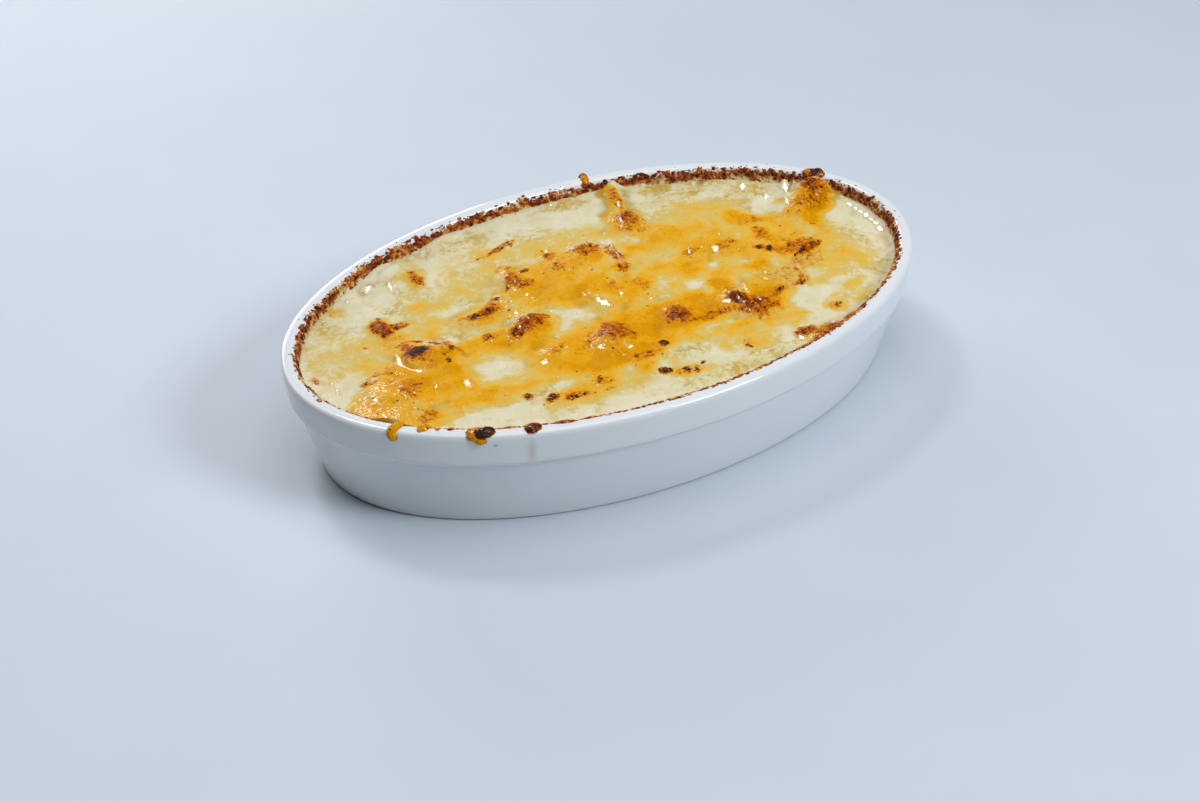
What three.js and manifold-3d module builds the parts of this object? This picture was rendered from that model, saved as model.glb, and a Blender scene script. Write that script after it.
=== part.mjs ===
// Four cheese pasta baked in an oval porcelain gratin dish.
// Millimetres, +Z up. The origin is the centre of the dish's foot, +X runs along the dish's length
// and +Y away from the viewer. The dish and its filling are two closed solids.

import * as THREE from 'three';
import { mergeVertices } from 'three/addons/utils/BufferGeometryUtils.js';
import Module from 'manifold-3d';

const wasm = await Module();
wasm.setup();

// The dish: its rim outline is an ellipse, and every other outline is that ellipse drawn inwards by
// an inset. A band runs round the rim, and a foot ring under the floor.
const RIM_LENGTH = 235;
const RIM_WIDTH = 146;
const DISH_HEIGHT = 42;
const RIM_THICKNESS = 5;
const RIM_ROUNDING = 2.2;
const INNER_ROUNDING = 0.9;
const BAND_HEIGHT = 12.4;
const BAND_TAPER = 1.1;
const BAND_STEP = 1.6;
const BAND_UNDERCUT = 1;
const FOOT_INSET = 9;
const FOOT_WIDTH = 4.5;
const FOOT_BEVEL = 1.2;
const FOOT_EDGE = 1.6;
const FOOT_RECESS = 1.2;
const INSIDE_CURVE = [[13, 15], [15.5, 9], [18.5, 6.4]];
const FLOOR_TOP = 5.4;
const FLOOR_INSET = 23;
const DISH_SIDES = 80;

// The filling: the cheese meets the wall below the rim and swells towards the middle. Its sides are
// cut to the wall with a gap, and the crust climbs from it to the rim.
const GAP = 0.3;
const CHEESE_LEVEL = 36.4;
const CHEESE_MOUND = 1.7;
const SWELL = 0.35;
const UNEVENNESS = 0.22;
const LUMP_EDGE = 0.12;
const RELIEF_GRID = 3.2;
const WALL_MIDDLE = 3;
const CUT_BOTTOM = [15.5, 2.7];
const CUT_CORNER = [12, 9];
const CRUST_ROOT = 3;
const CRUST_FOOT = 0.6;
const CRUST_TOP = 41.15;
const CRUST_EDGE = 0.7;
const CRUST_WIDTH = 2.6;

const TURN = 2 * Math.PI;
const RIM_A = RIM_LENGTH / 2;
const RIM_B = RIM_WIDTH / 2;

// A repeatable stream of numbers from 0 to 1.
function seededRandom(seed) {
  let state = seed;
  return () => {
    state = (state * 1664525 + 1013904223) % 4294967296;
    return state / 4294967296;
  };
}

// An uneven surface of about unit height: sine waves of nearly one wavelength, in many directions.
function ripples(seed, wavelength, count = 9) {
  const random = seededRandom(seed);
  const waves = Array.from({ length: count }, () => {
    const heading = random() * TURN;
    const pitch = TURN / (wavelength * (0.75 + 0.6 * random()));
    return { x: pitch * Math.cos(heading), y: pitch * Math.sin(heading), phase: random() * TURN };
  });
  const wave = (w, x, y) => Math.sin(w.x * x + w.y * y + w.phase);
  return (x, y) => waves.reduce((sum, w) => sum + wave(w, x, y), 0) / Math.sqrt(count);
}

// The point at this angle on the rim's ellipse drawn inwards by inset, at height z.
function onEllipse(angle, inset, z) {
  return [(RIM_A - inset) * Math.cos(angle), (RIM_B - inset) * Math.sin(angle), z];
}

function geometryOf(positions, indices) {
  const geometry = new THREE.BufferGeometry();
  geometry.setAttribute('position', new THREE.Float32BufferAttribute(positions.flat(), 3));
  geometry.setIndex(indices);
  geometry.computeVertexNormals();
  return geometry;
}

// Rings of points joined by quads. section(angle) gives one [inset, z] for each ring, anticlockwise
// as seen along the rim, so that the faces point out. With closed, the last ring joins the first;
// otherwise each end is closed by a fan from its centre.
function loft(section, { closed = false } = {}) {
  const positions = [];
  const indices = [];
  const columns = Array.from({ length: DISH_SIDES }, (_, j) => {
    const angle = (j / DISH_SIDES) * TURN;
    return section(angle).map(([inset, z]) => onEllipse(angle, inset, z));
  });
  const rings = columns[0].length;
  columns.forEach((column) => positions.push(...column));
  const at = (ring, side) => (side % DISH_SIDES) * rings + (ring % rings);
  for (let side = 0; side < DISH_SIDES; side++) {
    for (let ring = 0; ring < (closed ? rings : rings - 1); ring++) {
      indices.push(at(ring, side), at(ring, side + 1), at(ring + 1, side + 1));
      indices.push(at(ring, side), at(ring + 1, side + 1), at(ring + 1, side));
    }
  }
  if (!closed) {
    const start = positions.push([0, 0, columns[0][0][2]]) - 1;
    const end = positions.push([0, 0, columns[0][rings - 1][2]]) - 1;
    for (let side = 0; side < DISH_SIDES; side++) {
      indices.push(start, at(0, side + 1), at(0, side));
      indices.push(at(rings - 1, side), at(rings - 1, side + 1), end);
    }
  }
  return geometryOf(positions, indices);
}

// The dish's section from the middle of its underside, round the foot, up the wall, over the rim and
// down to the floor inside, as [inset, z].
function dishProfile() {
  const top = DISH_HEIGHT;
  const bandFoot = top - BAND_HEIGHT;
  const footInner = FOOT_INSET + FOOT_BEVEL + FOOT_WIDTH;
  return [
    [footInner + FOOT_RECESS, FOOT_RECESS],
    [footInner, 0],
    [FOOT_INSET + FOOT_BEVEL, 0],
    [FOOT_INSET, FOOT_EDGE],
    [BAND_TAPER + BAND_STEP, bandFoot - BAND_UNDERCUT],
    [BAND_TAPER, bandFoot],
    [0, top - RIM_ROUNDING],
    [RIM_ROUNDING * 0.25, top - RIM_ROUNDING * 0.4],
    [RIM_ROUNDING * 0.75, top - RIM_ROUNDING * 0.06],
    [RIM_THICKNESS / 2, top],
    [RIM_THICKNESS - INNER_ROUNDING, top - INNER_ROUNDING * 0.2],
    [RIM_THICKNESS, top - INNER_ROUNDING],
    [RIM_THICKNESS + INNER_ROUNDING * 0.8, top - INNER_ROUNDING * 3.4],
    ...INSIDE_CURVE,
    [FLOOR_INSET, FLOOR_TOP],
  ];
}

// The same section moved outwards by distance, along the mean normal of its two neighbours.
function grownProfile(profile, distance) {
  return profile.map(([inset, z], i) => {
    const [insetBefore, zBefore] = profile[Math.max(i - 1, 0)];
    const [insetAfter, zAfter] = profile[Math.min(i + 1, profile.length - 1)];
    const along = new THREE.Vector2(insetBefore - insetAfter, zAfter - zBefore).normalize();
    return [inset - along.y * distance, z - along.x * distance];
  });
}

function solidOf(geometry) {
  const bare = geometry.clone();
  bare.deleteAttribute('normal');
  bare.deleteAttribute('uv');
  const merged = mergeVertices(bare, 1e-5);
  return new wasm.Manifold(new wasm.Mesh({
    numProp: 3,
    vertProperties: Float32Array.from(merged.attributes.position.array),
    triVerts: Uint32Array.from(merged.index.array),
  }));
}

function geometryOfSolid(solid) {
  const mesh = solid.getMesh();
  const geometry = new THREE.BufferGeometry();
  geometry.setAttribute('position', new THREE.BufferAttribute(Float32Array.from(mesh.vertProperties), 3));
  geometry.setIndex(Array.from(mesh.triVerts));
  geometry.computeVertexNormals();
  return geometry;
}

// What stands out of the cheese, each with its middle, its length and width, how far it rises and
// how far its length is turned from +X, in degrees.
const LUMPS = [
  { name: 'glossy heap at the left end', at: [-90, -22.5], size: [30, 36], rise: 3.4, turn: 0 },
  { name: 'foot of the heap, on the rim', at: [-93, -37.5], size: [34, 17], rise: 3.6, turn: -43 },
  { name: 'blistered bump with the burn', at: [-70.5, -4.5], size: [25, 20], rise: 4, turn: -10 },
  { name: 'toasted flake, left', at: [-75.5, 19.5], size: [14, 12], rise: 1.6, turn: 0 },
  { name: 'toasted flake, back left', at: [-54.5, 41.5], size: [9, 13], rise: 1.6, turn: 0 },
  { name: 'bubble, back left', at: [-61, 52], size: [17, 13], rise: 1.7, turn: 25 },
  { name: 'scorched ridge', at: [-44, 10.5], size: [22, 8], rise: 1.9, turn: 22 },
  { name: 'pasta under the cheese, left', at: [-33.5, -4.5], size: [19, 13], rise: 3.1, turn: 35 },
  { name: 'rough brown patch', at: [-25, 23], size: [15, 20], rise: 2.2, turn: 10 },
  { name: 'central mass', at: [-2, 17.5], size: [42, 34], rise: 2.7, turn: 0 },
  { name: 'folded edge of the mass', at: [13, 18.5], size: [8, 20], rise: 1.5, turn: 10 },
  { name: 'its back edge', at: [2, 30], size: [26, 8], rise: 1.1, turn: -4 },
  { name: 'fold in the middle', at: [-4.5, -6.5], size: [9, 24], rise: 1.7, turn: -5 },
  { name: 'pasta under the cheese, front', at: [-10.5, -25.5], size: [18, 17], rise: 3.2, turn: 20 },
  { name: 'bump, front left', at: [-32.5, -23], size: [15, 13], rise: 2.3, turn: -20 },
  { name: 'bump, front', at: [14.5, -23], size: [13, 12], rise: 2.2, turn: 30 },
  { name: 'browned bump, front right', at: [36, -25.5], size: [17, 13], rise: 3.3, turn: 15 },
  { name: 'orange slope below it', at: [43.5, -33.5], size: [21, 12], rise: 2.3, turn: 28 },
  { name: 'blistered crust, right', at: [59.5, -20], size: [16, 14], rise: 1.6, turn: 25 },
  { name: 'scorched streak, right', at: [75.5, -8], size: [18, 8], rise: 1.5, turn: 12 },
  { name: 'orange lump, back', at: [27.5, 37], size: [12, 19], rise: 2.9, turn: -15 },
  { name: 'lump against the back right rim', at: [91.5, 18.5], size: [28, 16], rise: 4.2, turn: 38 },
  { name: 'top of that lump, on the rim', at: [99.5, 26], size: [12, 17], rise: 3.2, turn: 34 },
  { name: 'burnt crust, front right', at: [51, -57.5], size: [24, 8], rise: 3.8, turn: 13 },
];

const softSwell = ripples(11, 34);
const unevenSwell = ripples(29, 13);
const lumpEdge = ripples(67, 10);

function lumpHeight({ at, size, rise, turn }, x, y) {
  const angle = THREE.MathUtils.degToRad(turn);
  const along = (x - at[0]) * Math.cos(angle) + (y - at[1]) * Math.sin(angle);
  const across = (y - at[1]) * Math.cos(angle) - (x - at[0]) * Math.sin(angle);
  const reach = Math.hypot(along / (size[0] / 2), across / (size[1] / 2));
  const torn = reach * (1 + LUMP_EDGE * lumpEdge(x, y));
  return rise * (1 - THREE.MathUtils.smoothstep(torn, 0.15, 1.15));
}

function cheeseHeight(x, y) {
  const reach = Math.hypot(x / (RIM_A - RIM_THICKNESS), y / (RIM_B - RIM_THICKNESS));
  const mound = CHEESE_MOUND * Math.max(0, 1 - reach ** 3);
  const swell = SWELL * softSwell(x, y) + UNEVENNESS * unevenSwell(x, y);
  const lumps = LUMPS.reduce((sum, lump) => sum + lumpHeight(lump, x, y), 0);
  return CHEESE_LEVEL + mound + swell + lumps;
}

// A block under the cheese's relief, on a square grid wider than the dish.
function reliefBlock() {
  const columns = Math.ceil(RIM_LENGTH / RELIEF_GRID);
  const rows = Math.ceil(RIM_WIDTH / RELIEF_GRID);
  const geometry = new THREE.BoxGeometry(
    columns * RELIEF_GRID, rows * RELIEF_GRID, 2, columns, rows, 1,
  );
  const position = geometry.attributes.position;
  for (let i = 0; i < position.count; i++) {
    const isTop = position.getZ(i) > 0;
    position.setZ(i, isTop ? cheeseHeight(position.getX(i), position.getY(i)) : 0);
  }
  return geometry;
}

// The space inside the dish, with its sides and floor inside the porcelain, where the cut is made.
function cavity() {
  return loft(() => [
    CUT_BOTTOM,
    CUT_CORNER,
    [WALL_MIDDLE, DISH_HEIGHT - CRUST_ROOT],
    [WALL_MIDDLE, DISH_HEIGHT * 1.3],
  ]);
}

const crustHeight = ripples(47, 9);
const crustSwell = ripples(53, 22);

// The baked cheese that climbs from the surface up the wall to the rim, all the way round.
function bakedEdge() {
  return loft((angle) => {
    const [x, y] = onEllipse(angle, 0, 0);
    const top = CRUST_TOP + 0.3 * crustHeight(x, y);
    const reach = RIM_THICKNESS + CRUST_WIDTH + 0.5 * crustSwell(x, y) + 0.3 * crustHeight(x, y);
    return [
      [WALL_MIDDLE + 1, top],
      [reach - CRUST_EDGE * 2, top - CRUST_EDGE],
      [reach + CRUST_FOOT * 2, CHEESE_LEVEL + CRUST_FOOT],
      [reach + CRUST_ROOT * 0.7, CHEESE_LEVEL - CRUST_ROOT],
      [WALL_MIDDLE + 1, CHEESE_LEVEL - CRUST_ROOT],
    ];
  }, { closed: true });
}

// Where cheese has run over the rim: the angle round the rim in degrees, and the beads that make up
// the run, each with its inset from the rim's outline, its height and its radii across and through.
const RUNS = [
  {
    name: 'run at the left end',
    at: 213,
    beads: [[5.6, 41.2, 4.5, 1.5], [2.6, 41.8, 2.1, 1.2], [0.4, 40.8, 1.7, 1.5]],
  },
  { name: 'run beside it', at: 218.6, beads: [[5.4, 41.2, 4.5, 1.6], [3.4, 41.7, 2.6, 1.1]] },
  { name: 'last of the heap', at: 224, beads: [[5.4, 41.1, 4.2, 1.5], [3.8, 41.6, 2.2, 1]] },
  {
    name: 'burnt bead',
    at: 230.3,
    beads: [[5.6, 41, 2.8, 1.8], [2.7, 41.8, 3.6, 1.9], [0.8, 40.8, 2.3, 1.6]],
  },
  { name: 'second burnt bead', at: 239.2, beads: [[5.4, 41.1, 2.4, 1.7], [2.7, 41.8, 2.8, 1.7]] },
  {
    name: 'bead on the back rim',
    at: 76.5,
    beads: [[5.6, 41, 2.1, 1.7], [3.8, 42, 1.8, 1.4], [2, 42.2, 1.5, 1.2]],
  },
];
const BEAD_SIDES = 9;
const BEAD_ROWS = 6;
const BEAD_REACH = 2.4;

function runSolid({ at, beads }) {
  const angle = THREE.MathUtils.degToRad(at);
  const outward = Math.atan2(RIM_A * Math.sin(angle), RIM_B * Math.cos(angle));
  return beads.map(([inset, z, across, through]) => {
    const bead = new THREE.SphereGeometry(1, BEAD_SIDES, BEAD_ROWS);
    bead.scale(BEAD_REACH, across, through);
    bead.rotateZ(outward);
    bead.translate(...onEllipse(angle, inset, z));
    return solidOf(bead);
  }).reduce((joined, bead) => joined.add(bead));
}

// The string of cheese from the orange lump at the back up to the crust on the wall.
const STRING_PATH = [
  [28.5, 41, 38.2],
  [30.2, 48.5, 38.6],
  [32.6, 55, 39.1],
  [35, 61, 39.8],
  [36, 65, 40.1],
];
const STRING_HALF_HEIGHT = 1.5;
const STRING_HALF_WIDTH = 2.3;

function cheeseString() {
  const path = new THREE.CatmullRomCurve3(STRING_PATH.map((point) => new THREE.Vector3(...point)));
  const section = new THREE.Shape().absellipse(0, 0, STRING_HALF_HEIGHT, STRING_HALF_WIDTH, 0, TURN);
  return new THREE.ExtrudeGeometry(section, {
    extrudePath: path, steps: 9, curveSegments: 3, bevelEnabled: false,
  });
}

function filling() {
  const baked = [bakedEdge(), cheeseString()].map(solidOf).concat(RUNS.map(runSolid));
  const body = baked.reduce(
    (joined, piece) => joined.add(piece),
    solidOf(reliefBlock()).intersect(solidOf(cavity())),
  );
  const keepOut = solidOf(loft(() => grownProfile(dishProfile(), GAP)));
  return geometryOfSolid(body.subtract(keepOut));
}

const porcelain = new THREE.MeshStandardMaterial({ color: '#eceff0', roughness: 0.14, metalness: 0 });
const bakedCheese = new THREE.MeshStandardMaterial({ color: '#e2bf74', roughness: 0.32, metalness: 0 });

const dish = new THREE.Mesh(loft(dishProfile), porcelain);
dish.name = 'dish';

const pasta = new THREE.Mesh(filling(), bakedCheese);
pasta.name = 'pasta_and_cheese';

const gratin = new THREE.Group();
gratin.add(dish, pasta);

export default gratin;
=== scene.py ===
"""Four cheese pasta, browned in the oven, in its oval white porcelain gratin dish."""

import math

import bpy
import numpy as np
from mathutils import Matrix, Vector, noise
from mathutils.bvhtree import BVHTree


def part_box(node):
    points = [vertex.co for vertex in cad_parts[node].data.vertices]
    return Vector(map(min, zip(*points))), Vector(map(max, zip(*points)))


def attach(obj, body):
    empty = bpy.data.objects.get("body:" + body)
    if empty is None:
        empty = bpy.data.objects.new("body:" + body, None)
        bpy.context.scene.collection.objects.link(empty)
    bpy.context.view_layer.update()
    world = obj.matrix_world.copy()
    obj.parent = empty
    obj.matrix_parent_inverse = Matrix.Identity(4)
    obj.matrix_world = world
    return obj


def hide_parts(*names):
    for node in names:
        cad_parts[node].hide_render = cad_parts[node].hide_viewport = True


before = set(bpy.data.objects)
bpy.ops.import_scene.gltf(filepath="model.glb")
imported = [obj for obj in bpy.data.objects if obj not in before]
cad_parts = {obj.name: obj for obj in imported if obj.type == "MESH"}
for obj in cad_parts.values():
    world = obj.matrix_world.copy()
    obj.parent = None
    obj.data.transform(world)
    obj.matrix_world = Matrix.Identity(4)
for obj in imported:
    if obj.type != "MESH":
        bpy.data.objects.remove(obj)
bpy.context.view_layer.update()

# The view. The photograph looks 37 degrees down on the dish from beyond its front left corner, with a
# 60 mm lens held a degree and a half off level. Sizes and places in this file are in millimetres,
# but for those of the floor and the lamps, which are in metres.
MM = 0.001
VIEW_FROM = Vector((-267.5, -513.4, 421.9)) * MM
VIEW_TOWARDS = Vector((-7.9, -7.4, 0)) * MM
VIEW_ROLL = math.radians(-1.51)

camera = bpy.data.objects.new("camera", bpy.data.cameras.new("camera"))
camera.data.lens = 60
camera.data.sensor_width = 36
camera.location = VIEW_FROM
aim = (VIEW_TOWARDS - VIEW_FROM).to_track_quat("-Z", "Y").to_matrix() @ Matrix.Rotation(VIEW_ROLL, 3, "Z")
camera.rotation_euler = aim.to_euler()
bpy.context.collection.objects.link(camera)
bpy.context.scene.camera = camera
bpy.context.scene.view_settings.view_transform = "Standard"

# The dish: heavy white porcelain, pressed as an oval without ears, with a raised band round the rim
# and a foot ring. It is glazed all over except where it stands, and the glaze is thin on the edges.
RIM_A, RIM_B, RIM_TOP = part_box("dish")[1] / MM
DISH_SIDES = 400
DISH_CORNERS = [
    (15.2, 1.2, 0.8),
    (14.4, 0, 0.5),
    (9.9, 0, 1.4),
    (2.7, 28.6, 1.0),
    (1.1, 29.6, 1.0),
    (0, RIM_TOP, 2.3),
    (5.0, RIM_TOP, 1.8),
    (15.9, 5.4, 7),
]
CORNER_STEPS = 7
WALL_STEP = 1.6
GLAZE_WAVE = 0.09
FOOT_BARE_BELOW = 0.5


def rounded(corners):
    """The line through these (inset, height, cut) corners, with each one rounded off from cut before it."""
    line = [np.array(corners[0][:2], float)]
    for before, corner, after in zip(corners, corners[1:], corners[2:]):
        middle = np.array(corner[:2], float)
        ends = []
        for other in (before, after):
            way = np.array(other[:2], float) - middle
            ends.append(middle + way * corner[2] / np.linalg.norm(way))
        for k in range(CORNER_STEPS + 1):
            share = k / CORNER_STEPS
            here = (1 - share) ** 2 * ends[0] + 2 * share * (1 - share) * middle + share**2 * ends[1]
            line.append(here)
    line.append(np.array(corners[-1][:2], float))
    return np.array(line)


def spaced(line, step):
    """The same line with points no further apart than step."""
    lengths = np.r_[0, np.cumsum(np.linalg.norm(np.diff(line, axis=0), axis=1))]
    places = [lengths[0]]
    for start, end in zip(lengths, lengths[1:]):
        count = max(1, math.ceil((end - start) / step))
        places.extend(start + (end - start) * (k + 1) / count for k in range(count))
    return np.c_[np.interp(places, lengths, line[:, 0]), np.interp(places, lengths, line[:, 1])]


def round_the_rim(line, angles):
    """Points of this (inset, height) line at every angle round the oval, as an angles by line array."""
    inset, height = line[:, 0][None, :], line[:, 1][None, :]
    x = (RIM_A - inset) * np.cos(angles)[:, None]
    y = (RIM_B - inset) * np.sin(angles)[:, None]
    return np.stack([x, y, np.broadcast_to(height, x.shape)], axis=2)


def grid_faces(columns, rows, wraps=False):
    """Quads over a grid of points that is stored column by column."""
    i, j = np.meshgrid(np.arange(columns if wraps else columns - 1), np.arange(rows - 1), indexing="ij")
    beside = (i + 1) % columns
    quads = [i * rows + j, beside * rows + j, beside * rows + j + 1, i * rows + j + 1]
    return np.stack([q.ravel() for q in quads], axis=1)


def unevenness(points, size, seed):
    """A smooth random value from about -1 to 1 at each point, whose swells are about size apart."""
    shifted = points.reshape(-1, 3) / size + np.array([37.1, 11.7, 5.3]) * seed
    return np.array([noise.noise(p) for p in shifted.tolist()]).reshape(points.shape[:-1])


def solid_piece(name, points, faces, material):
    """A smooth mesh in the dish's frame from points in millimetres, with the given material."""
    mesh = bpy.data.meshes.new(name)
    mesh.from_pydata((points.reshape(-1, 3) * MM).tolist(), [], [list(map(int, f)) for f in faces])
    mesh.shade_smooth()
    mesh.materials.append(material)
    piece = bpy.data.objects.new(name, mesh)
    bpy.context.collection.objects.link(piece)
    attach(piece, "root")
    return piece


class Tone:
    """A value, colour or vector inside a material. Python's operators on it add Math nodes."""

    def __init__(self, tree, socket=None):
        self.tree = tree
        self.socket = socket

    def node(self, kind, settings=None, sockets=None, output=0):
        """Adds a shader node: its settings first, then the value or the link of each socket."""
        made = self.tree.nodes.new("ShaderNode" + kind)
        for name, value in (settings or {}).items():
            if name == "stops":
                ramp = made.color_ramp.elements
                ramp.remove(ramp[1])
                ramp[0].position, ramp[0].color = value[0]
                for place, colour in value[1:]:
                    ramp.new(place).color = colour
            else:
                setattr(made, name, value)
        for name, value in (sockets or {}).items():
            if isinstance(value, Tone):
                self.tree.links.new(value.socket, made.inputs[name])
            else:
                made.inputs[name].default_value = value
        return Tone(self.tree, made.outputs[output])

    def maths(self, operation, first, second):
        return self.node("Math", {"operation": operation}, {0: first, 1: second})

    def __add__(self, other):
        return self.maths("ADD", self, other)

    def __radd__(self, other):
        return self.maths("ADD", other, self)

    def __sub__(self, other):
        return self.maths("SUBTRACT", self, other)

    def __rsub__(self, other):
        return self.maths("SUBTRACT", other, self)

    def __mul__(self, other):
        return self.maths("MULTIPLY", self, other)

    def least(self, other):
        return self.maths("MINIMUM", self, other)

    def most(self, other):
        return self.maths("MAXIMUM", self, other)

    def step(self, low, high):
        """0 below low, 1 above high, and a smooth rise between them, or a fall where high is lower."""
        settings = {"interpolation_type": "SMOOTHSTEP"}
        if low < high:
            return self.node("MapRange", settings, {"Value": self, "From Min": low, "From Max": high})
        return 1 - self.node("MapRange", settings, {"Value": self, "From Min": high, "From Max": low})

    def colours(self, first, second, blend="MIX"):
        """The first colour, with this value as the share of the second."""
        settings = {"data_type": "RGBA", "blend_type": blend}
        return self.node("Mix", settings, {0: self, 6: first, 7: second}, output=2)

    def place(self):
        return self.node("TexCoord", output="Object")

    def near(self, centre, size):
        """1 at this place and 0 outside an oval of this half size round it, both in millimetres."""
        centre_here = [c * MM for c in centre]
        size_here = [c * MM for c in size]
        apart = self.node("VectorMath", {"operation": "SUBTRACT"}, {0: self.place(), 1: centre_here})
        shares = self.node("VectorMath", {"operation": "DIVIDE"}, {0: apart, 1: size_here})
        return self.node("VectorMath", {"operation": "LENGTH"}, {0: shares}, output="Value").step(1, 0.2)

    def grain(self, size, detail=2, roughness=0.5, stretch=0):
        """Cloudy noise from 0 to 1 about this many millimetres across."""
        return self.node("TexNoise", {}, {
            "Vector": self.place(),
            "Scale": 1 / (size * MM),
            "Detail": detail,
            "Roughness": roughness,
            "Distortion": stretch,
        })

    def bump(self, height, depth):
        """A normal for relief this many millimetres deep."""
        return self.node("Bump", {}, {"Height": height, "Distance": depth * MM, "Strength": 1})


def paint(hex_colour):
    """A screen colour such as 'e8e4d8' as the linear one that a shader takes."""
    channels = [int(hex_colour[k : k + 2], 16) / 255 for k in (0, 2, 4)]
    return (*[c / 12.92 if c < 0.04045 else ((c + 0.055) / 1.055) ** 2.4 for c in channels], 1)


def finish(name, even, varied):
    """A material: even holds its plain sockets, and varied(tone) returns those that nodes drive."""
    material = bpy.data.materials.new(name)
    material.use_nodes = True
    tree = material.node_tree
    shader = tree.nodes["Principled BSDF"]
    for socket, value in even.items():
        shader.inputs[socket].default_value = value
    for socket, tone in varied(Tone(tree)).items():
        tree.links.new(tone.socket, shader.inputs[socket])
    return material


def glazed_porcelain(tone):
    """White glaze with a matt bare foot, and brown traces where fat ran down in front."""
    height = tone.node("SeparateXYZ", {}, {0: tone.place()}, output="Z") * (1 / MM)
    clouds = tone.grain(28, 3).colours(paint("e7e9ea"), paint("ebedee"))
    bare = height.step(FOOT_BARE_BELOW + 0.2, FOOT_BARE_BELOW - 0.2)
    trace = tone.near((-60.5, -64, 34), (2.4, 5, 8)) * (0.2 + tone.grain(3, 3) * 0.5)
    drops = tone.near((43.5, -69.5, 41.5), (1.3, 2.6, 2)).most(tone.near((-71, -58, 38), (1, 2, 1)))
    stained = (trace + drops * 0.5).colours(clouds, paint("b08a60"))
    colour = bare.colours(stained, paint("ddd6c8"))
    shine = 0.1 + tone.grain(9, 3) * 0.06
    relief = tone.grain(3.5, 1) + tone.grain(60, 1) * 4
    return {
        "Base Color": colour,
        "Roughness": bare * 0.65 + shine,
        "Normal": tone.bump(relief, 0.02),
    }


dish_line = spaced(rounded(DISH_CORNERS), WALL_STEP)
dish_angles = np.linspace(0, 2 * math.pi, DISH_SIDES, endpoint=False)
dish_points = round_the_rim(dish_line, dish_angles)
wave = GLAZE_WAVE * unevenness(dish_points, 30, 1) + GLAZE_WAVE * 0.5 * unevenness(dish_points, 12, 2)
wave *= np.clip(dish_points[:, :, 2] / 6, 0, 1)
away = dish_points[:, :, :2] / np.linalg.norm(dish_points[:, :, :2], axis=2, keepdims=True)
dish_points[:, :, :2] -= away * np.abs(wave)[:, :, None]
middles = np.array([[0, 0, dish_line[0, 1]], [0, 0, dish_line[-1, 1]]])
dish_faces = grid_faces(DISH_SIDES, len(dish_line), wraps=True).tolist()
under, inside = dish_points.size // 3, dish_points.size // 3 + 1
for side in range(DISH_SIDES):
    here, beside = side * len(dish_line), (side + 1) % DISH_SIDES * len(dish_line)
    dish_faces.append([under, beside, here])
    dish_faces.append([here + len(dish_line) - 1, beside + len(dish_line) - 1, inside])
porcelain = finish("glazed porcelain", {"IOR": 1.5, "Specular IOR Level": 0.6}, glazed_porcelain)
dish_points = np.r_[dish_points.reshape(-1, 3), middles]
dish = solid_piece("gratin_dish", dish_points, dish_faces, porcelain)
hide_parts("dish")

# The top of the pasta: a sheet of molten cheese, cream coloured where it stayed soft, gold where the
# fat came out and orange to black where it caught. Its lumps are the solid's, and the blisters,
# folds and bubbles between them are added here. It is one closed body that fills the dish.
COLUMNS, ROWS = 380, 234
CHEESE_INSET = 6.0
CLEAR_OF_CRUST = 9.2
SOFTENING = 2.0
FILLING_LINE = [(8.6, 33), (10.5, 26), (12.6, 18), (14.6, 11), (18, 7.5), (24, 6)]

s, t = np.meshgrid(np.linspace(-1, 1, COLUMNS + 1), np.linspace(-1, 1, ROWS + 1), indexing="ij")
oval_x, oval_y = s * np.sqrt(1 - t * t / 2), t * np.sqrt(1 - s * s / 2)
x, y = oval_x * (RIM_A - CHEESE_INSET), oval_y * (RIM_B - CHEESE_INSET)
flat = np.stack([x, y, np.zeros_like(x)], axis=2)

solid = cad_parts["pasta_and_cheese"].data
relief = BVHTree.FromPolygons([v.co for v in solid.vertices], [p.vertices for p in solid.polygons])
reach = np.hypot(x / (RIM_A - CLEAR_OF_CRUST), y / (RIM_B - CLEAR_OF_CRUST))
kept = 1 / np.maximum(reach, 1)
above = RIM_TOP * 2 * MM
heights = []
for px, py in zip((x * kept * MM).ravel().tolist(), (y * kept * MM).ravel().tolist()):
    heights.append(relief.ray_cast((px, py, above), (0, 0, -1))[0].z / MM)
level = np.array(heights).reshape(x.shape)


def softened(field, width):
    """The field blurred over about this many millimetres."""
    spread = width / (2 * RIM_A / COLUMNS)
    steps = np.arange(-math.ceil(3 * spread), math.ceil(3 * spread) + 1)
    weights = np.exp(-((steps / spread) ** 2) / 2)
    weights /= weights.sum()
    for axis in (0, 1):
        room = [(len(steps) // 2,) * 2 if a == axis else (0, 0) for a in (0, 1)]
        padded = np.pad(field, room, mode="edge")
        size = field.shape[axis]
        field = sum(w * padded.take(range(k, k + size), axis=axis) for k, w in enumerate(weights))
    return field


def smooth_step(value, low, high):
    share = np.clip((value - low) / (high - low), 0, 1)
    return share * share * (3 - 2 * share)


# Places on the cheese are given as they look from the viewpoint, on a level plane at its mean height.
MEAN_LEVEL = 37
sight = VIEW_FROM / MM
nearer = (sight.z - MEAN_LEVEL) / (sight.z - softened(level, SOFTENING))
seen_x, seen_y = sight.x + (x - sight.x) * nearer, sight.y + (y - sight.y) * nearer
torn = 1 + 0.4 * unevenness(flat, 8, 3) + 0.3 * unevenness(flat, 3.6, 4) + 0.16 * unevenness(flat, 1.7, 5)
torn = np.clip(torn, 0.45, 2)


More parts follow.
